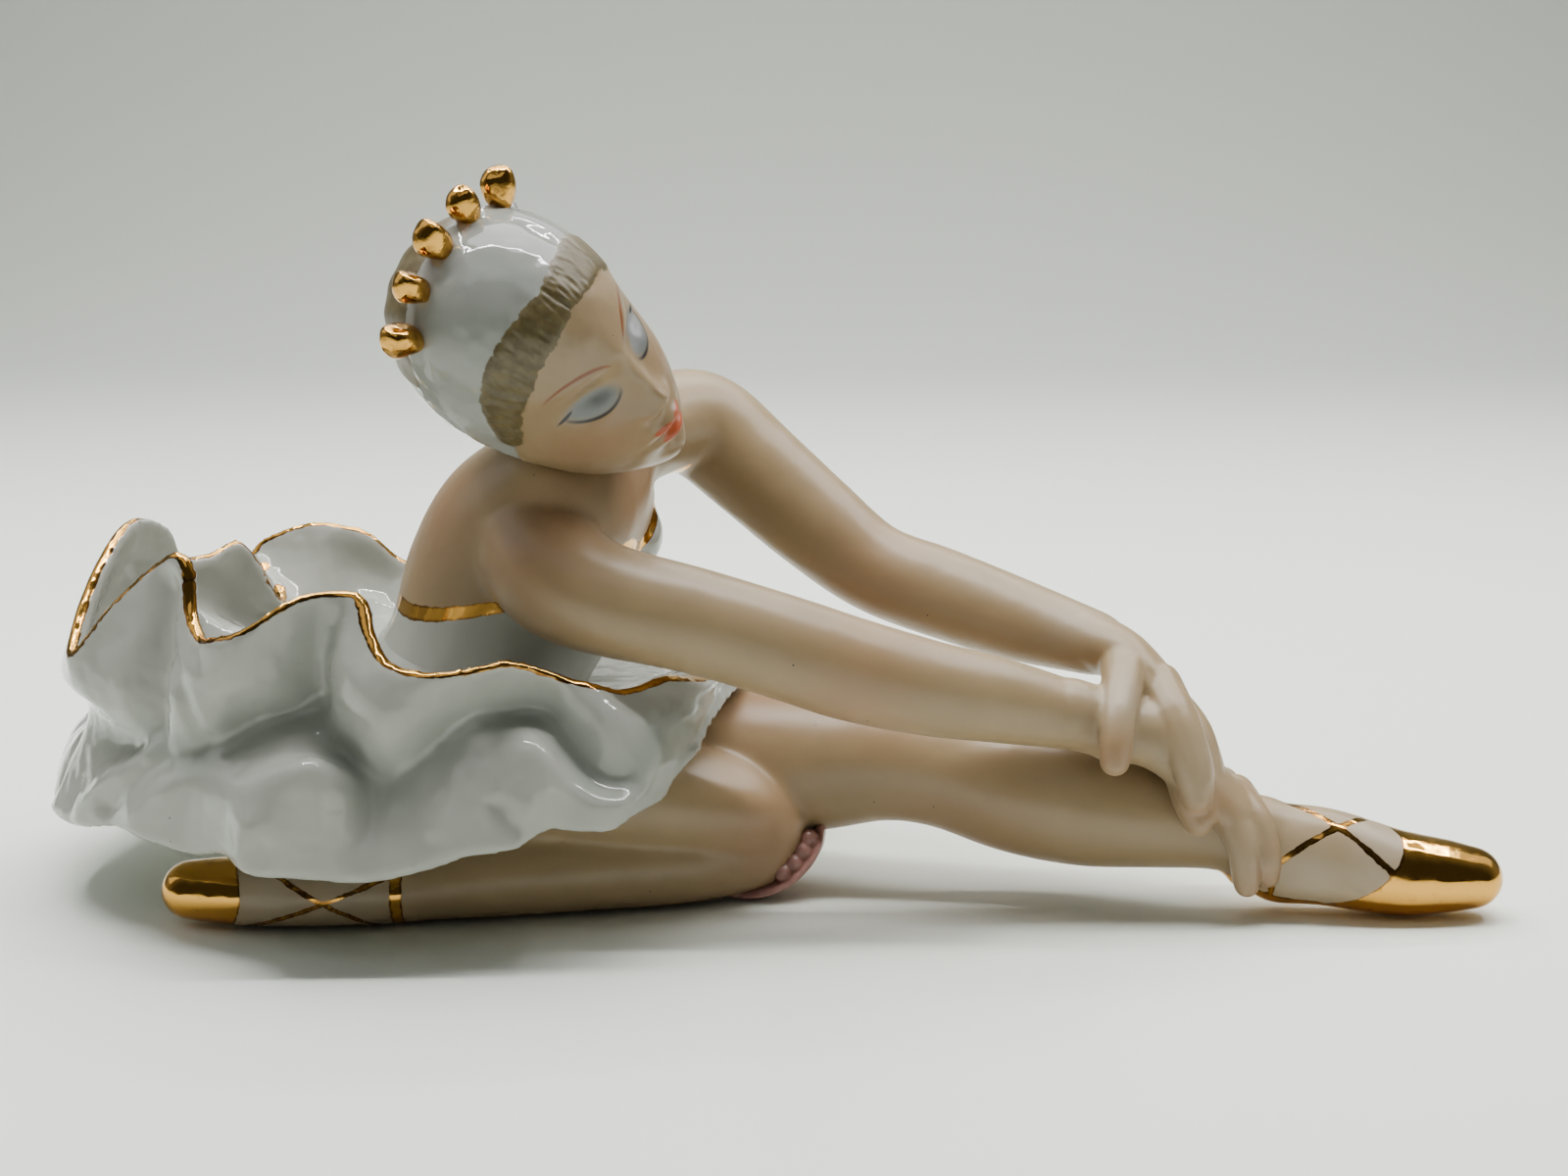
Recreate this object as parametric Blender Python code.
"""A porcelain ballerina sitting in a swan pose, leaning over her stretched leg.

Metres, +Z up. She faces +X, her right side is towards -Y, and the origin is under the
middle of the figure, on the surface that it stands on. The figure is one casting, so it
is one solid: simple closed forms are laid over each other, fused by a voxel remesh,
smoothed where they meet, thinned to few faces and ground flat underneath.
"""

import math

import bmesh
import bpy
import numpy as np
from mathutils import Matrix, Vector

# Driving sizes, in metres
LENGTH = 0.300  # from the back of the skirt to the toe of the stretched foot
FRILL_WALL = 0.0030  # clay thickness of the skirt's two frills
BEAD_WIDTH = 0.0072  # across one gold bead of the crown
BEAD_REACH = 0.0080  # length of one bead, out of the cap

# The figure's own measures are in shares of its length: one unit is a 300th of it
UNIT = LENGTH / 300
MIDDLE = (-2.6, 0.6, 0.0)  # the middle of the modelled figure, which goes to the origin

# How finely the forms are fused, and how many faces the finished solid has
BODY_GRAIN = 1.3 * UNIT
SKIN_GRAIN = 1.05 * UNIT
BODY_SMOOTHING = 9
SKIN_SMOOTHING = 3
TRIANGLES = 9400

# Limbs are rows of (x, y, z, half width, half height) along the middle of the limb
STRETCHED_LEG = (
    (-66, 12, 21, 19.0, 19.0),
    (-48, 8, 21.5, 19.0, 18.8),
    (-30, 4, 22, 18.0, 17.8),
    (-5, -2, 23.8, 16.0, 16.1),
    (11, -5, 25.0, 14.2, 14.4),
    (24, -8, 26.4, 12.8, 12.9),
    (36, -11, 25.2, 12.0, 12.3),
    (51, -14, 21.6, 12.6, 13.2),
    (65, -17, 19.2, 12.0, 12.7),
    (79, -20, 17.6, 9.6, 10.6),
    (92, -23, 16.0, 7.6, 8.6),
    (99, -25, 14.2, 7.8, 9.4),
)
STRETCHED_FOOT = (
    (97, -24.4, 11.6, 6.2, 8.2),
    (102, -25.4, 11.6, 7.8, 10.2),
    (111, -27, 11.6, 8.6, 10.0),
    (125, -28, 8.7, 8.8, 8.8),
    (136, -28.4, 7.9, 7.6, 7.4),
    (141, -28.5, 7.6, 6.6, 6.4),
)
FOLDED_THIGH = (
    (-67, -14, 24, 17.0, 17.0),
    (-52, -18, 24, 15.0, 14.5),
    (-30, -20, 23, 13.5, 12.5),
    (-9, -17.5, 19.2, 12.0, 10.4),
    (-2.0, -15.5, 14.0, 9.2, 9.4),
)
FOLDED_SHIN = (
    (-4, -15.5, 10.2, 9.4, 9.6),
    (-17, -20.5, 9.0, 9.3, 9.2),
    (-37, -25, 8.9, 9.2, 9.2),
    (-57, -29, 8.0, 8.4, 8.2),
    (-74, -32.5, 6.6, 6.8, 6.8),
)
FOLDED_FOOT = (
    (-70, -32, 6.5, 6.6, 6.6),
    (-80, -33.5, 6.5, 7.2, 6.8),
    (-92, -34, 6.7, 7.8, 7.0),
    (-105, -34, 6.8, 7.6, 6.8),
    (-115, -33.5, 6.8, 6.2, 6.0),
)
NEAR_ARM = (
    (-46, -15, 76.0, 14.0, 14.0),
    (-45, -25, 73.0, 12.0, 12.4),
    (-40, -32, 69.5, 11.6, 12.2),
    (-31, -36, 66.3, 11.0, 11.0),
    (-14, -38, 62.6, 10.2, 10.3),
    (3, -38, 57.4, 9.8, 10.2),
    (16, -37, 52.8, 9.6, 10.2),
    (31, -34, 48.3, 9.2, 9.5),
    (46, -30, 44.6, 8.2, 8.5),
    (63, -26, 39.8, 6.8, 6.7),
    (70, -26, 37.0, 7.0, 6.8),
)
FAR_ARM = (
    (-38, 8, 87.0, 12.5, 11.5),
    (-29, 17, 91.0, 12.0, 10.8),
    (-21, 25, 92.5, 11.6, 11.2),
    (-14, 29.5, 90.5, 11.8, 11.8),
    (-4, 28.5, 82.0, 11.2, 11.4),
    (9, 25, 71.0, 10.4, 10.8),
    (22, 20.5, 61.5, 9.6, 9.8),
    (36, 14, 57.2, 9.4, 9.8),
    (52, 4, 53.4, 8.4, 8.8),
    (67, -8, 51.0, 7.0, 6.8),
)
NECK = (
    (-37, 0, 84, 13.0, 13.0),
    (-39.5, -6, 93, 10.8, 10.8),
    (-43, -12, 102, 10.2, 10.2),
    (-45, -19, 110, 10.2, 10.2),
)

# The trunk's rows also hold the direction of its side-to-side axis, as it twists
TRUNK = (
    (-66, 2, 10, 30, 25, (0.00, 1.00, 0.00)),
    (-66, 1, 24, 33, 27, (0.00, 1.00, 0.00)),
    (-62, -1, 38, 28, 24, (0.08, 0.99, 0.05)),
    (-58, -3, 49, 23, 21.5, (0.15, 0.98, 0.12)),
    (-53, -2, 61, 25, 23, (0.28, 0.93, 0.22)),
    (-47, -1, 73, 29, 22, (0.38, 0.87, 0.30)),
    (-40, 1, 83, 31, 17, (0.42, 0.85, 0.32)),
    (-36, 2, 90, 19, 13, (0.43, 0.84, 0.33)),
)

BUST = ((-38.5, -13, 66), (-31.0, 5, 71.5))
BUST_ROUND = 8.8

# Fingers are rows of (x, y, z, radius), from the palm out to the tip
FAR_PALM = (
    (65.2, -7, 51.7, 7.0, 6.2),
    (71.6, -12, 49.6, 8.2, 5.6),
    (76.8, -15, 45.4, 9.0, 4.9),
    (80.7, -17, 40.2, 9.2, 4.3),
)
FAR_FINGERS = (
    (
        (78.4, -20, 45.2, 4.8), (80.3, -27.5, 40.6, 4.7), (82.3, -31.5, 35.1, 4.5),
        (83.6, -34, 30.4, 4.0), (84.0, -35, 26.5, 3.1),
    ),
    (
        (80.8, -16, 40.9, 4.4), (85.1, -22, 35.8, 4.2), (86.8, -27, 29.7, 3.8),
        (87.0, -30.5, 24.7, 3.5), (85.8, -33, 21.9, 2.9),
    ),
    (
        (81.0, -10.5, 39.6, 4.2), (86.7, -16, 33.1, 3.9), (88.8, -21, 27.5, 3.5),
        (89.5, -24.5, 22.8, 3.1), (88.8, -26.5, 20.4, 2.6),
    ),
    ((82.1, -5, 39.1, 4.2), (86.4, -9, 31.8, 3.6), (88.9, -13, 26.6, 3.2), (89.9, -17, 23.2, 2.6)),
)
FAR_THUMB = (
    (72.3, -14, 49.7, 5.4),
    (70.2, -25, 46.4, 4.3),
    (68.4, -32.5, 42.4, 3.6),
    (67.7, -35.8, 37.9, 3.4),
    (67.4, -36.8, 34.4, 3.1),
)
FAR_WEB = (  # between the thumb and the first finger
    (71.3, -17, 47.5, 4.6),
    (73.8, -21, 45.6, 4.0),
    (77.2, -21.5, 43.2, 4.4),
)
NEAR_PALM = (
    (59.2, -28, 41.9, 6.9, 6.9),
    (63.2, -27, 40.5, 6.8, 6.8),
    (70.2, -26.5, 38.3, 6.9, 6.4),
    (77.2, -26, 36.3, 7.2, 6.8),
    (83.3, -26, 30.5, 7.6, 5.0),
    (89.4, -26, 24.7, 7.8, 4.8),
    (92.9, -27, 20.8, 7.6, 4.6),
)
NEAR_FINGERS = (
    ((82.8, -28, 28.0, 3.9), (83.7, -31.5, 24.0, 3.7), (84.9, -33, 20.8, 3.1)),
    (
        (90.4, -27, 22.6, 4.2), (92.7, -31.5, 18.7, 3.6), (93.8, -33.5, 14.9, 3.1),
        (94.3, -34, 10.8, 2.9), (94.8, -34, 8.1, 2.7),
    ),
    (
        (93.8, -24, 22.7, 4.4), (97.1, -28.5, 19.2, 3.8), (98.7, -31, 15.7, 3.1),
        (99.3, -32, 12.4, 2.9), (99.5, -31.5, 9.1, 2.6),
    ),
    ((94.6, -20, 22.5, 4.2), (97.7, -24, 18.6, 3.7), (99.2, -27, 15.4, 3.0)),
    ((92.9, -15, 23.2, 3.6), (96.7, -15, 18.4, 3.4), (99.5, -14, 13.7, 3.0)),
)

# The head: its middle, and where its crown and its face point. Its rows hold the height above
# the middle, the half width, and how far it reaches to the front and to the back
HEAD_AT = (-45.2, -28.2, 115.6)
HEAD_UP = (-0.373, -0.662, 0.649)
HEAD_FACING = (0.813, -0.570, -0.115)
HEAD = (
    (26.0, 2.5, -1.0, -6.5),
    (24.6, 8.5, 5.0, -13.0),
    (21.0, 14.3, 12.0, -19.5),
    (15.0, 18.6, 18.3, -25.0),
    (7.0, 21.0, 21.4, -28.0),
    (-1.0, 21.4, 21.6, -28.4),
    (-8.0, 20.4, 22.0, -26.0),
    (-14.0, 18.8, 22.4, -20.5),
    (-20.0, 16.3, 22.2, -12.5),
    (-26.0, 12.3, 21.2, -4.5),
    (-31.0, 7.0, 18.8, 2.5),
    (-33.0, 3.0, 16.0, 7.0),
)
FACE_TAPER = 0.14  # how much narrower the head is towards the face

# The face is a plain calm one. Each form is a soft swelling or hollow of the head's front:
# its place to the side and up, its half width and half height, and how far it stands out.
# A form off the middle is there on both sides
FACE = (
    (8.2, -2.6, 5.2, 3.6, -2.6),  # sockets
    (8.3, -4.4, 3.7, 2.5, 2.2),  # lids
    (6.5, 2.6, 5.5, 1.9, 0.7),  # brows
    (0.0, -1.0, 2.4, 5.0, 1.4),  # bridge of the nose
    (0.0, -7.5, 2.4, 5.0, 2.2),
    (0.0, -12.2, 2.8, 2.8, 3.2),  # tip of the nose
    (3.1, -13.6, 1.6, 1.6, 1.6),  # wings of the nose
    (12.0, -12.5, 5.5, 6.0, 0.9),  # cheeks
    (0.0, -21.0, 7.0, 5.0, 0.8),  # round the mouth
    (1.9, -19.4, 2.4, 1.2, 1.4),  # upper lip
    (0.0, -22.9, 3.4, 1.3, 1.6),  # lower lip
    (0.0, -21.1, 4.6, 0.5, -1.2),  # between the lips
    (0.0, -25.8, 4.0, 1.4, -1.0),  # under the lip
    (0.0, -30.0, 4.6, 3.0, 1.6),  # chin
)
BEAD_ANGLES = (-39, -20, 0.5, 21.5, 40)  # degrees round the crown, from ear to ear
BEAD_BACK = 7.0  # how far behind the middle of the head the beads stand
BEAD_ROOT = 24.0  # how far above the middle of the head their roots are

# The skirt is one closed form. Each row of (x, y, z) runs once round it: the rim of the upper
# frill, the bulges of its wall, the crease where it meets the lower frill, that frill's
# crests and its hem
RIM = (
    (-20, -38, 52), (-27, -44, 51), (-32, -48, 53), (-38, -50, 55), (-45, -52, 58), (-49, -54, 59),
    (-57, -57, 58), (-64, -58, 58), (-70, -57, 60), (-74, -53, 65), (-76, -49, 70), (-80, -48, 71),
    (-86, -51, 71), (-91, -54, 69), (-97, -54, 65), (-103, -51, 63), (-107, -46, 62), (-110, -41, 66),
    (-111, -38, 74), (-114, -36, 76), (-120, -32, 72), (-129, -29, 64), (-138, -26, 54), (-139, -17, 60),
    (-137, -7, 69), (-134, 4, 75), (-130, 13, 72), (-129, 22, 64), (-124, 30, 63), (-119, 34, 65),
    (-115, 36, 60), (-111.5, 38, 51), (-112, 43, 52), (-116.5, 48, 56), (-119.5, 52.5, 60), (-112, 54, 64),
    (-105, 54, 65.5), (-99, 53, 65), (-93, 54, 63),
    (-87, 56, 57), (-81, 58, 55), (-74, 58, 59), (-66, 55, 65), (-58, 53, 64), (-51, 56, 57),
    (-43, 56, 53), (-35, 52, 56), (-27, 46, 57), (-19, 40, 51), (-13, 28, 47), (-10, 14, 46.5),
    (-9, 0, 47), (-10, -14, 47.5), (-14, -27, 49),
)
WALL = (
    (-12, -29, 47), (-18, -39, 48), (-26, -51, 45), (-36, -51, 49), (-44, -48, 51), (-54, -52, 51),
    (-62, -57, 50), (-70, -60, 49), (-79, -55, 56), (-86, -48, 56), (-94, -52, 53), (-104, -51, 53),
    (-112, -47, 51), (-118, -39, 52), (-126, -36, 49), (-137, -27, 46), (-144, -14, 46), (-148, 0, 45),
    (-146, 13, 45), (-139, 24, 48), (-133, 30, 52), (-126, 39, 46), (-116, 43, 45), (-108, 50, 47),
    (-99, 56, 50), (-89, 58, 47), (-80, 55, 45), (-72, 60, 47), (-62, 61, 51), (-53, 56, 50),
    (-44, 58, 46), (-36, 56, 47), (-28, 50, 48), (-19, 42, 46), (-12, 28, 45), (-8, 13, 45.5),
    (-7, 0, 46), (-9, -14, 46.5),
)
CREASE = (
    (-13, -31, 42), (-15, -38, 43), (-18, -43, 44), (-22, -49, 40), (-28, -53, 35), (-34, -52, 37),
    (-41, -48, 45), (-48, -48, 46), (-57, -50, 45), (-63, -53, 41), (-71, -55, 37), (-80, -52, 39),
    (-86, -47, 46), (-95, -46, 45), (-106, -47, 41), (-113, -44, 39), (-120, -39, 40), (-126, -33, 38),
    (-132, -26, 39), (-139, -14, 39), (-142, 0, 36), (-140, 12, 37), (-133, 20, 43), (-127, 27, 40),
    (-120, 36, 37), (-112, 40, 41), (-104, 42, 45), (-96, 48, 41), (-88, 51, 37), (-80, 49, 41),
    (-72, 48, 45), (-64, 51, 42), (-56, 54, 37), (-48, 50, 40), (-40, 47, 45), (-32, 47, 41),
    (-24, 44, 37), (-17, 36, 39), (-12, 25, 42), (-9, 12, 44), (-8, 0, 44.5), (-10, -16, 44),
)
CREST = (
    (-14, -32, 38), (-17, -39, 38), (-20, -46, 36), (-24, -54, 33), (-29, -57, 32), (-35, -58, 34),
    (-43, -58, 43), (-52, -57, 39), (-61, -58, 33), (-70, -60, 31), (-75, -57, 31), (-79, -60, 36),
    (-84, -62, 41), (-90, -61, 39), (-98, -58, 36), (-108, -50, 33), (-117, -45, 32), (-127, -37, 31),
    (-136, -26, 28), (-145, -12, 27), (-149, 4, 27), (-149, 18, 30), (-142, 30, 35), (-133, 38, 30),
    (-124, 46, 29), (-114, 53, 34), (-104, 57, 41), (-94, 59, 36), (-84, 59, 31), (-74, 60, 37),
    (-66, 61, 40), (-58, 60, 33), (-50, 58, 31), (-42, 57, 38), (-34, 55, 37), (-26, 51, 31),
    (-17, 43, 32), (-11, 32, 36), (-7, 19, 40), (-6, 7, 43), (-6, -4, 43.5), (-9, -20, 41),
)
HEM = (
    (-11, -26, 40), (-13, -34, 37.5), (-15, -39, 36), (-18, -43, 33), (-20, -46, 30), (-25, -53, 29),
    (-29, -56, 27), (-34, -57, 27), (-41, -58, 28), (-47, -60, 25), (-55, -61, 24), (-65, -62, 21),
    (-75, -62, 19), (-86, -62, 20), (-94, -60, 20), (-99, -58, 21), (-104, -54, 22), (-110, -50, 20.5),
    (-119, -45, 21), (-128, -38, 22), (-139, -28, 19), (-147, -17, 18), (-150, -6, 18), (-152, 6, 22),
    (-152, 17, 26), (-149, 26, 25), (-143, 35, 20), (-136, 42, 20), (-127, 48, 25), (-117, 55, 25),
    (-107, 60, 20), (-95, 63, 19), (-84, 63, 25), (-73, 64, 25), (-62, 63, 19), (-51, 62, 19),
    (-41, 61, 26), (-31, 57, 25), (-22, 50, 24), (-15, 41, 27), (-9, 30, 31), (-5, 18, 37),
    (-4, 7, 41.5), (-5, -4, 42), (-8, -15, 42),
)
# Folds pressed into the skirt or drawn out of it: their line, their half width and how far
# they stand out
FOLDS = (
    (((-116.0, -37.1, 68.9), (-116.7, -39.2, 56.8), (-118.5, -39.9, 42.0)), 3.2, -2.4),
    (((-114.0, -42.5, 56.3), (-110.2, -48.0, 50.8), (-107.4, -46.7, 41.2)), 1.8, -1.4),
    (((-98.9, -53.6, 59.0), (-103.3, -47.4, 44.9)), 6.0, 1.4),
    (((-83.3, -50.2, 64.2), (-86.3, -46.3, 48.8)), 4.0, -2.4),
    (((-72.0, -58.9, 54.2), (-72.4, -55.3, 39.5)), 6.0, 1.3),
    (((-108.0, -46.7, 39.5), (-99.4, -47.1, 42.1)), 3.0, -1.5),
    (((-101.8, -49.7, 38.4), (-85.9, -48.7, 44.5)), 4.5, 1.2),
    (((-79.5, -52.6, 39.3), (-74.1, -58.2, 29.5)), 4.0, -2.2),
    (((-71.8, -55.1, 37.2), (-69.3, -60.5, 29.7)), 4.2, -2.2),
    (((-61.5, -59.7, 28.7), (-58.6, -54.5, 38.5), (-55.4, -50.3, 44.5)), 4.0, 1.6),
    (((-54.3, -50.2, 44.5), (-40.3, -49.6, 43.6)), 2.6, 1.2),
    (((-36.2, -50.6, 43.1), (-31.9, -52.5, 36.9), (-26.9, -53.1, 35.0)), 3.6, -1.7),
    (((-24.1, -51.1, 37.1), (-15.4, -37.0, 38.3)), 3.0, 1.3),
    (((-44.7, -59.4, 31.4), (-41.8, -59.0, 35.9)), 2.4, 1.4),
    (((-50.2, -59.5, 31.7), (-47.5, -59.9, 28.8)), 2.6, -1.7),
    (((-37.7, -58.0, 36.7), (-34.6, -58.4, 31.7)), 2.8, -1.3),
    (((-137.1, -28.6, 22.7), (-120.7, -39.6, 36.9)), 2.2, 1.4),
    (((-130.5, -35.7, 24.1), (-116.5, -42.8, 36.6)), 2.4, -1.4),
    (((-130.8, -28.9, 34.9), (-122.4, -37.6, 37.1)), 3.0, -2.0),
    (((-122.6, -42.4, 23.9), (-110.8, -47.7, 34.2)), 3.0, 1.2),
    (((-95.1, -60.5, 28.4), (-95.9, -59.8, 22.0)), 4.4, 2.8),
    (((-93.1, -60.8, 25.4), (-93.4, -60.5, 22.4)), 1.9, -1.8),
    (((-104.0, 50.0, 60.0), (-106.0, 47.0, 45.0)), 4.0, -2.0),
    (((-70.0, 57.0, 58.0), (-71.0, 54.0, 43.0)), 4.0, 1.5),
    (((-46.0, 55.0, 53.0), (-51.0, 51.0, 42.0)), 3.5, -2.2),
    (((-88.0, 57.0, 36.0), (-92.0, 62.0, 23.0)), 3.5, -1.9),
    (((-66.0, 60.0, 38.0), (-70.0, 62.0, 27.0)), 3.5, 0.6),
    (((-40.0, 55.0, 36.0), (-44.0, 61.0, 23.0)), 3.0, -1.7),
    (((-24.0, 46.0, 34.0), (-26.0, 53.0, 25.0)), 3.0, 1.3),
    (((-120.0, 44.0, 34.0), (-128.0, 47.0, 24.0)), 3.0, -1.8),
    (((-143.0, 8.0, 58.0), (-143.0, 5.0, 42.0)), 4.0, -2.4),
    (((-144.0, -9.0, 33.0), (-149.0, -11.0, 22.0)), 3.0, -1.7),
    (((-140.0, 26.0, 35.0), (-147.0, 28.0, 25.0)), 3.0, 1.5),
)
HIPS = (-62, -1)  # the upright line that the skirt runs round
HIPS_ROUND = 22.0
WAIST_HEIGHT = 41.0  # the bottom of the upper frill's bowl
HIPS_HEIGHT = 29.0  # where the underside of the lower frill meets the hips
SKIRT_COLUMNS = 300

# The pink petal that is pressed against the front of the knee, and its small knobs
PETAL = (
    (-8, -18, 1.0, 3.0, 1.1),
    (-3, -17.5, 1.3, 5.0, 1.4),
    (2.5, -16.5, 3.2, 6.5, 1.5),
    (7.0, -14.5, 6.8, 7.0, 1.5),
    (9.6, -13, 10.4, 6.0, 1.5),
    (10.4, -12.5, 12.6, 4.0, 1.3),
)
PETAL_KNOBS = ((8.1, -17.5, 12.2), (6.8, -18.5, 9.8), (4.8, -19.5, 7.6), (2.4, -20.5, 6.0))

GLAZE = (0.86, 0.78, 0.72, 1.0)


def curve_through(rows, steps, closed=False):
    """The rows, joined by a smooth Catmull-Rom curve with that many steps between two."""
    rows = np.array(rows, float)
    last = len(rows)
    if closed:
        ring = np.vstack([rows[-1], rows, rows[:2]])
        spans = [tuple(ring[i : i + 4]) for i in range(last)]
    else:
        ends = np.vstack([2 * rows[0] - rows[1], rows, 2 * rows[-1] - rows[-2]])
        spans = [tuple(ends[i : i + 4]) for i in range(last - 1)]
    found = []
    for a, b, c, d in spans:
        for t in np.arange(steps) / steps:
            found.append(
                0.5 * (2 * b + (c - a) * t + (2 * a - 5 * b + 4 * c - d) * t**2 + (3 * b - a - 3 * c + d) * t**3)
            )
    if not closed:
        found.append(rows[-1])
    return np.array(found)


def unit(vector):
    return np.array(vector, float) / np.linalg.norm(vector)


def add_rings(shape, rings, closed=False):
    """Skins rings of equal length into the shape. An open row of rings gets a face on each end."""
    made = [[shape.verts.new(Vector(p) * UNIT) for p in ring] for ring in rings]
    pairs = list(zip(made, made[1:]))
    if closed:
        pairs.append((made[-1], made[0]))
    for low, high in pairs:
        for i in range(len(low)):
            j = (i + 1) % len(low)
            shape.faces.new((low[i], low[j], high[j], high[i]))
    if not closed:
        shape.faces.new(list(reversed(made[0])))
        shape.faces.new(made[-1])


def ellipse(centre, across, over, wide, tall, sides):
    turns = np.arange(sides) * 2 * math.pi / sides
    return [centre + across * wide * math.cos(t) + over * tall * math.sin(t) for t in turns]


def add_limb(shape, rows, side=(0, 1, 0), sides=20, steps=4):
    """A round-ended tube along rows of (x, y, z, half width, half height, side or nothing)."""
    sides_of = [row[5] if len(row) > 5 else side for row in rows]
    line = curve_through([(*row[:5], *hint) for row, hint in zip(rows, sides_of)], steps)
    middle, sizes, hints = line[:, :3], line[:, 3:5], line[:, 5:]
    along = np.gradient(middle, axis=0)
    rings = []
    cap = [math.radians(a) for a in (80, 60, 40, 20)]
    for i, centre in enumerate(middle):
        way = unit(along[i])
        across = unit(hints[i] - way * np.dot(hints[i], way))
        over = np.cross(way, across)
        wide, tall = sizes[i]
        ring = [(0.0, 1.0)]
        if i == 0:
            ring = [(-math.sin(a), math.cos(a)) for a in cap] + ring
        elif i == len(middle) - 1:
            ring = ring + [(math.sin(a), math.cos(a)) for a in reversed(cap)]
        for reach, share in ring:
            at = centre + way * reach * min(wide, tall)
            rings.append(ellipse(at, across, over, wide * share, tall * share, sides))
    add_rings(shape, rings)


def add_finger(shape, rows):
    """A thin round limb, given by its radius alone."""
    add_limb(shape, [(x, y, z, r, r) for x, y, z, r in rows], side=(0.3, 1, 0), sides=12)


def add_ball(shape, centre, radii, turn=None):
    """An ellipsoid. turn holds its own three axes as columns."""
    axes = Matrix.Identity(3) if turn is None else turn
    size = Matrix.Diagonal((*(Vector(radii) * UNIT), 1))
    place = Matrix.Translation(Vector(centre) * UNIT) @ axes.to_4x4() @ size
    bmesh.ops.create_uvsphere(shape, u_segments=24, v_segments=16, radius=1, matrix=place)


def inward(ring, distance, lift, square=0.7):
    """The ring, moved in and up. square says how far it moves square to itself, not to the hips."""
    to_hips = np.array(HIPS) - ring[:, :2]
    to_hips = to_hips / np.linalg.norm(to_hips, axis=1, keepdims=True)
    along = np.roll(ring[:, :2], -1, axis=0) - np.roll(ring[:, :2], 1, axis=0)
    across = np.column_stack([along[:, 1], -along[:, 0]])
    across = across / np.linalg.norm(across, axis=1, keepdims=True)
    way = across * square + to_hips * (1 - square)
    way = way / np.linalg.norm(way, axis=1, keepdims=True)
    return np.column_stack([ring[:, :2] + way * distance, ring[:, 2] + lift])


def lower_than(ring, top):
    return np.minimum(ring, (math.inf, math.inf, top))


def ring_at(points, turns):
    """A smooth closed curve through the points, at the given angles round the hips."""
    line = curve_through(points, 12, closed=True)
    angle = np.unwrap(np.arctan2(HIPS[1] - line[:, 1], line[:, 0] - HIPS[0]))
    angle = np.maximum.accumulate(angle) + np.arange(len(angle)) * 1e-6
    angle = np.concatenate([angle - 2 * math.pi, angle, angle + 2 * math.pi])
    return np.column_stack([np.interp(turns, angle, np.tile(line[:, axis], 3)) for axis in range(3)])


def folded(ring):
    """The ring, moved away from the hips or towards them where a fold passes."""
    away = ring - (*HIPS, 0)
    away[:, 2] = 0
    away = away / np.linalg.norm(away, axis=1, keepdims=True)
    push = np.zeros(len(ring))
    for line, wide, out in FOLDS:
        apart = np.full(len(ring), math.inf)
        for start, end in zip(np.array(line), np.array(line)[1:]):
            share = np.clip((ring - start) @ (end - start) / np.dot(end - start, end - start), 0, 1)
            apart = np.minimum(apart, np.linalg.norm(ring - start - np.outer(share, end - start), axis=1))
        push += out * np.exp(-((apart / wide) ** 2))
    return ring + away * push[:, None]


def add_skirt(shape):
    """Both frills as one form: bowl, rim, outer wall, crease, lower frill, hem and underside."""
    turns = np.arange(SKIRT_COLUMNS) * 2 * math.pi / SKIRT_COLUMNS
    wall = FRILL_WALL / UNIT
    rim, side, crease, crest, hem = [ring_at(points, turns) for points in (RIM, WALL, CREASE, CREST, HEM)]
    across, along = HIPS_ROUND * np.cos(turns), HIPS_ROUND * np.sin(turns)
    round_hips = np.column_stack([HIPS[0] + across, HIPS[1] - along, np.zeros(len(turns))])
    outside = [inward(rim, -wall * 0.35, -1.2), side, crease, crest, inward(hem, -0.3, 0.6)]
    flat = curve_through([ring.ravel() for ring in outside], 4)
    outside = [ring.reshape(-1, 3) for ring in flat]
    inside = [
        round_hips + (0, 0, WAIST_HEIGHT),
        inward(side, wall + 12, -4, 0),
        inward(side, wall + 2.5, 3),
        inward(rim, wall * 0.6, -2.5),
        inward(rim, wall * 0.35, -0.6),
        inward(rim, 0, 0),
    ]
    under = [
        inward(hem, 0.2, -0.8),
        inward(hem, 2.2, -0.9),
        lower_than(inward(crest, wall + 2, -4), HIPS_HEIGHT + 8),
        lower_than(inward(crest, wall + 18, -2, 0), HIPS_HEIGHT + 6),
        round_hips + (0, 0, HIPS_HEIGHT),
    ]
    add_rings(shape, [folded(ring) for ring in (*inside, *outside, *under)], closed=True)


def head_axes():
    """The head's own axes as columns: to its left, along its face and to its crown."""
    up = unit(HEAD_UP)
    facing = unit(np.array(HEAD_FACING) - up * np.dot(HEAD_FACING, up))
    return np.column_stack([np.cross(up, facing), facing, up])


def face_relief(across, height):
    """How far the face stands out of the plain head there."""
    total = 0.0
    for side, up, wide, tall, out in FACE:
        for mirrored in {side, -side}:
            total += out * math.exp(-(((across - mirrored) / wide) ** 2) - ((height - up) / tall) ** 2)
    return total


def add_head(shape):
    """The head with its cap and face, as level rings on the head's own axes."""
    axes = head_axes()
    rings = []
    for height, wide, front, back in curve_through(HEAD, 8):
        middle, deep = (front + back) / 2, (front - back) / 2
        ring = []
        for turn in np.arange(120) * 2 * math.pi / 120:
            fore = max(math.cos(turn), 0)
            across = wide * math.sin(turn) * (1 - FACE_TAPER * fore)
            forward = middle + deep * math.cos(turn) + face_relief(across, height) * min(2 * fore, 1)
            ring.append(np.array(HEAD_AT) + axes @ np.array([across, forward, height]))
        rings.append(ring)
    add_rings(shape, rings)


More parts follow.
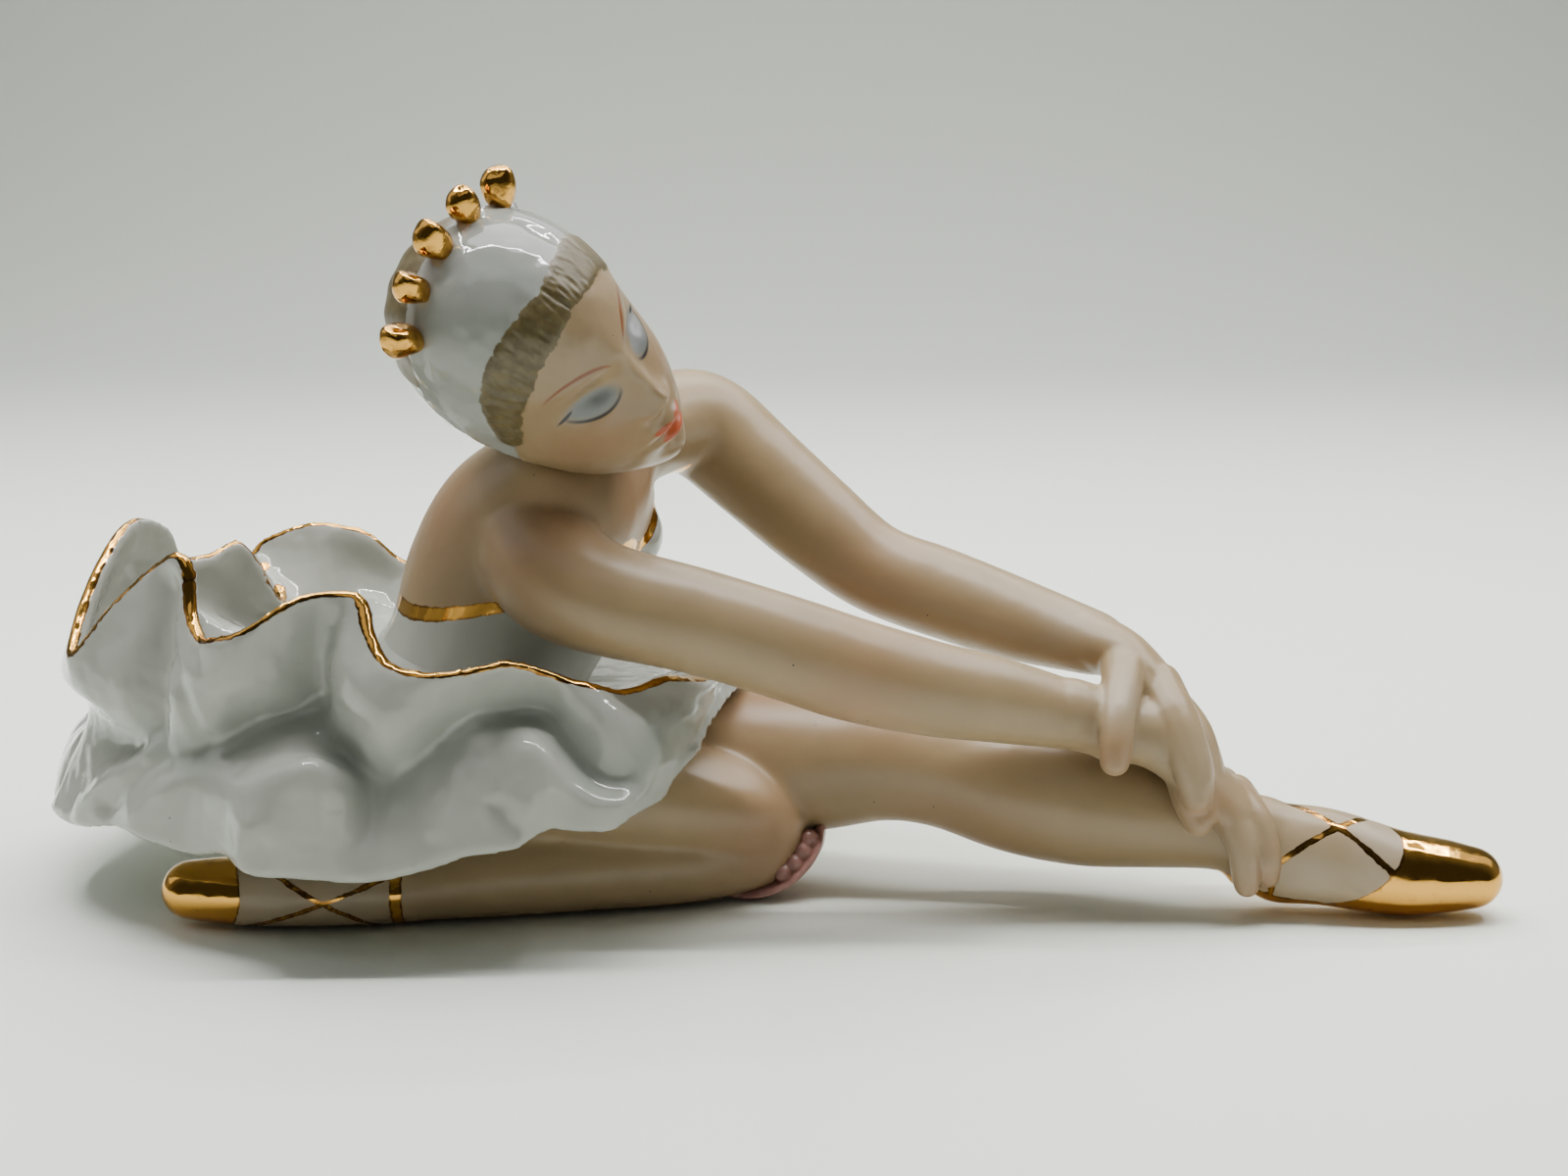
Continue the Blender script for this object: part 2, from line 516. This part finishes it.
def add_beads(shape):
    """The crown: gold beads in an arc from ear to ear, each standing out of the cap."""
    axes = head_axes()
    half = BEAD_WIDTH / UNIT / 2
    reach = BEAD_REACH / UNIT
    for angle in BEAD_ANGLES:
        turn = math.radians(angle)
        out = axes @ np.array([math.sin(turn), 0, math.cos(turn)])
        foot = np.array(HEAD_AT) + axes @ np.array([0, -BEAD_BACK, 0]) + out * BEAD_ROOT
        over = unit(np.cross(out, axes[:, 1]))
        shares = ((-0.3, 0.7), (0.1, 0.8), (0.35, 1.0), (0.62, 0.95))
        rows = [(*(foot + out * reach * share), half * size, half * size) for share, size in shares]
        add_limb(shape, rows, side=tuple(over), sides=12, steps=2)


def add_petal(shape):
    """The petal that is curled under the knee, with a row of knobs."""
    add_limb(shape, PETAL, sides=16)
    for knob in PETAL_KNOBS:
        add_ball(shape, knob, (1.9, 1.9, 1.9))


def object_from(name, shape):
    bmesh.ops.recalc_face_normals(shape, faces=shape.faces)
    mesh = bpy.data.meshes.new(name)
    shape.to_mesh(mesh)
    shape.free()
    made = bpy.data.objects.new(name, mesh)
    bpy.context.scene.collection.objects.link(made)
    return made


def finished(made):
    """The object's mesh with its modifiers applied. The object itself is removed."""
    bpy.context.view_layer.update()
    mesh = bpy.data.meshes.new_from_object(made.evaluated_get(bpy.context.evaluated_depsgraph_get()))
    bpy.data.objects.remove(made)
    return mesh


def fuse(name, shape, grain, smoothing):
    """One closed skin round everything in the shape, smoothed where the forms meet."""
    made = object_from(name, shape)
    remesh = made.modifiers.new("fuse", "REMESH")
    remesh.mode = "VOXEL"
    remesh.voxel_size = grain
    smooth = made.modifiers.new("soften", "SMOOTH")
    smooth.factor = 0.5
    smooth.iterations = smoothing
    return made


def body_shape():
    shape = bmesh.new()
    add_limb(shape, TRUNK, sides=28)
    legs = (STRETCHED_LEG, STRETCHED_FOOT, FOLDED_THIGH, FOLDED_SHIN, FOLDED_FOOT)
    for rows in (*legs, NEAR_ARM, FAR_ARM, NECK):
        add_limb(shape, rows)
    for breast in BUST:
        add_ball(shape, breast, (BUST_ROUND, BUST_ROUND, BUST_ROUND))
    return shape


def hands_shape(shape):
    add_limb(shape, FAR_PALM, side=(0, 1, -0.21))
    add_limb(shape, NEAR_PALM, side=(-0.1, 1, 0.35))
    for rows in (*FAR_FINGERS, *NEAR_FINGERS, FAR_THUMB, FAR_WEB):
        add_finger(shape, rows)


def ground_flat(shape):
    """Cuts off what is below the surface that the figure stands on, and closes the cuts."""
    everything = [*shape.verts, *shape.edges, *shape.faces]
    bmesh.ops.bisect_plane(shape, geom=everything, plane_co=(0, 0, 0), plane_no=(0, 0, 1), clear_inner=True)
    open_edges = [e for e in shape.edges if e.is_boundary]
    bmesh.ops.holes_fill(shape, edges=open_edges)
    bmesh.ops.triangulate(shape, faces=shape.faces)


def build():
    for old in list(bpy.data.objects):
        bpy.data.objects.remove(old)
    body = finished(fuse("body", body_shape(), BODY_GRAIN, BODY_SMOOTHING))

    shape = bmesh.new()
    shape.from_mesh(body)
    hands_shape(shape)
    add_head(shape)
    add_beads(shape)
    add_petal(shape)
    add_skirt(shape)
    skin = fuse("skin", shape, SKIN_GRAIN, SKIN_SMOOTHING)
    fine = finished(skin)

    shape = bmesh.new()
    shape.from_mesh(fine)
    bmesh.ops.triangulate(shape, faces=shape.faces)
    bmesh.ops.translate(shape, verts=shape.verts, vec=-Vector(MIDDLE) * UNIT)
    many = len(shape.faces)
    rough = object_from("rough", shape)
    thin = rough.modifiers.new("thin_out", "DECIMATE")
    thin.ratio = TRIANGLES / many

    shape = bmesh.new()
    shape.from_mesh(finished(rough))
    ground_flat(shape)
    figurine = object_from("figurine", shape)
    figurine.data.shade_smooth()
    porcelain = bpy.data.materials.new("glazed_porcelain")
    porcelain.use_nodes = True
    shader = porcelain.node_tree.nodes["Principled BSDF"]
    shader.inputs["Base Color"].default_value = GLAZE
    shader.inputs["Roughness"].default_value = 0.15
    figurine.data.materials.append(porcelain)
    return figurine


figurine = build()
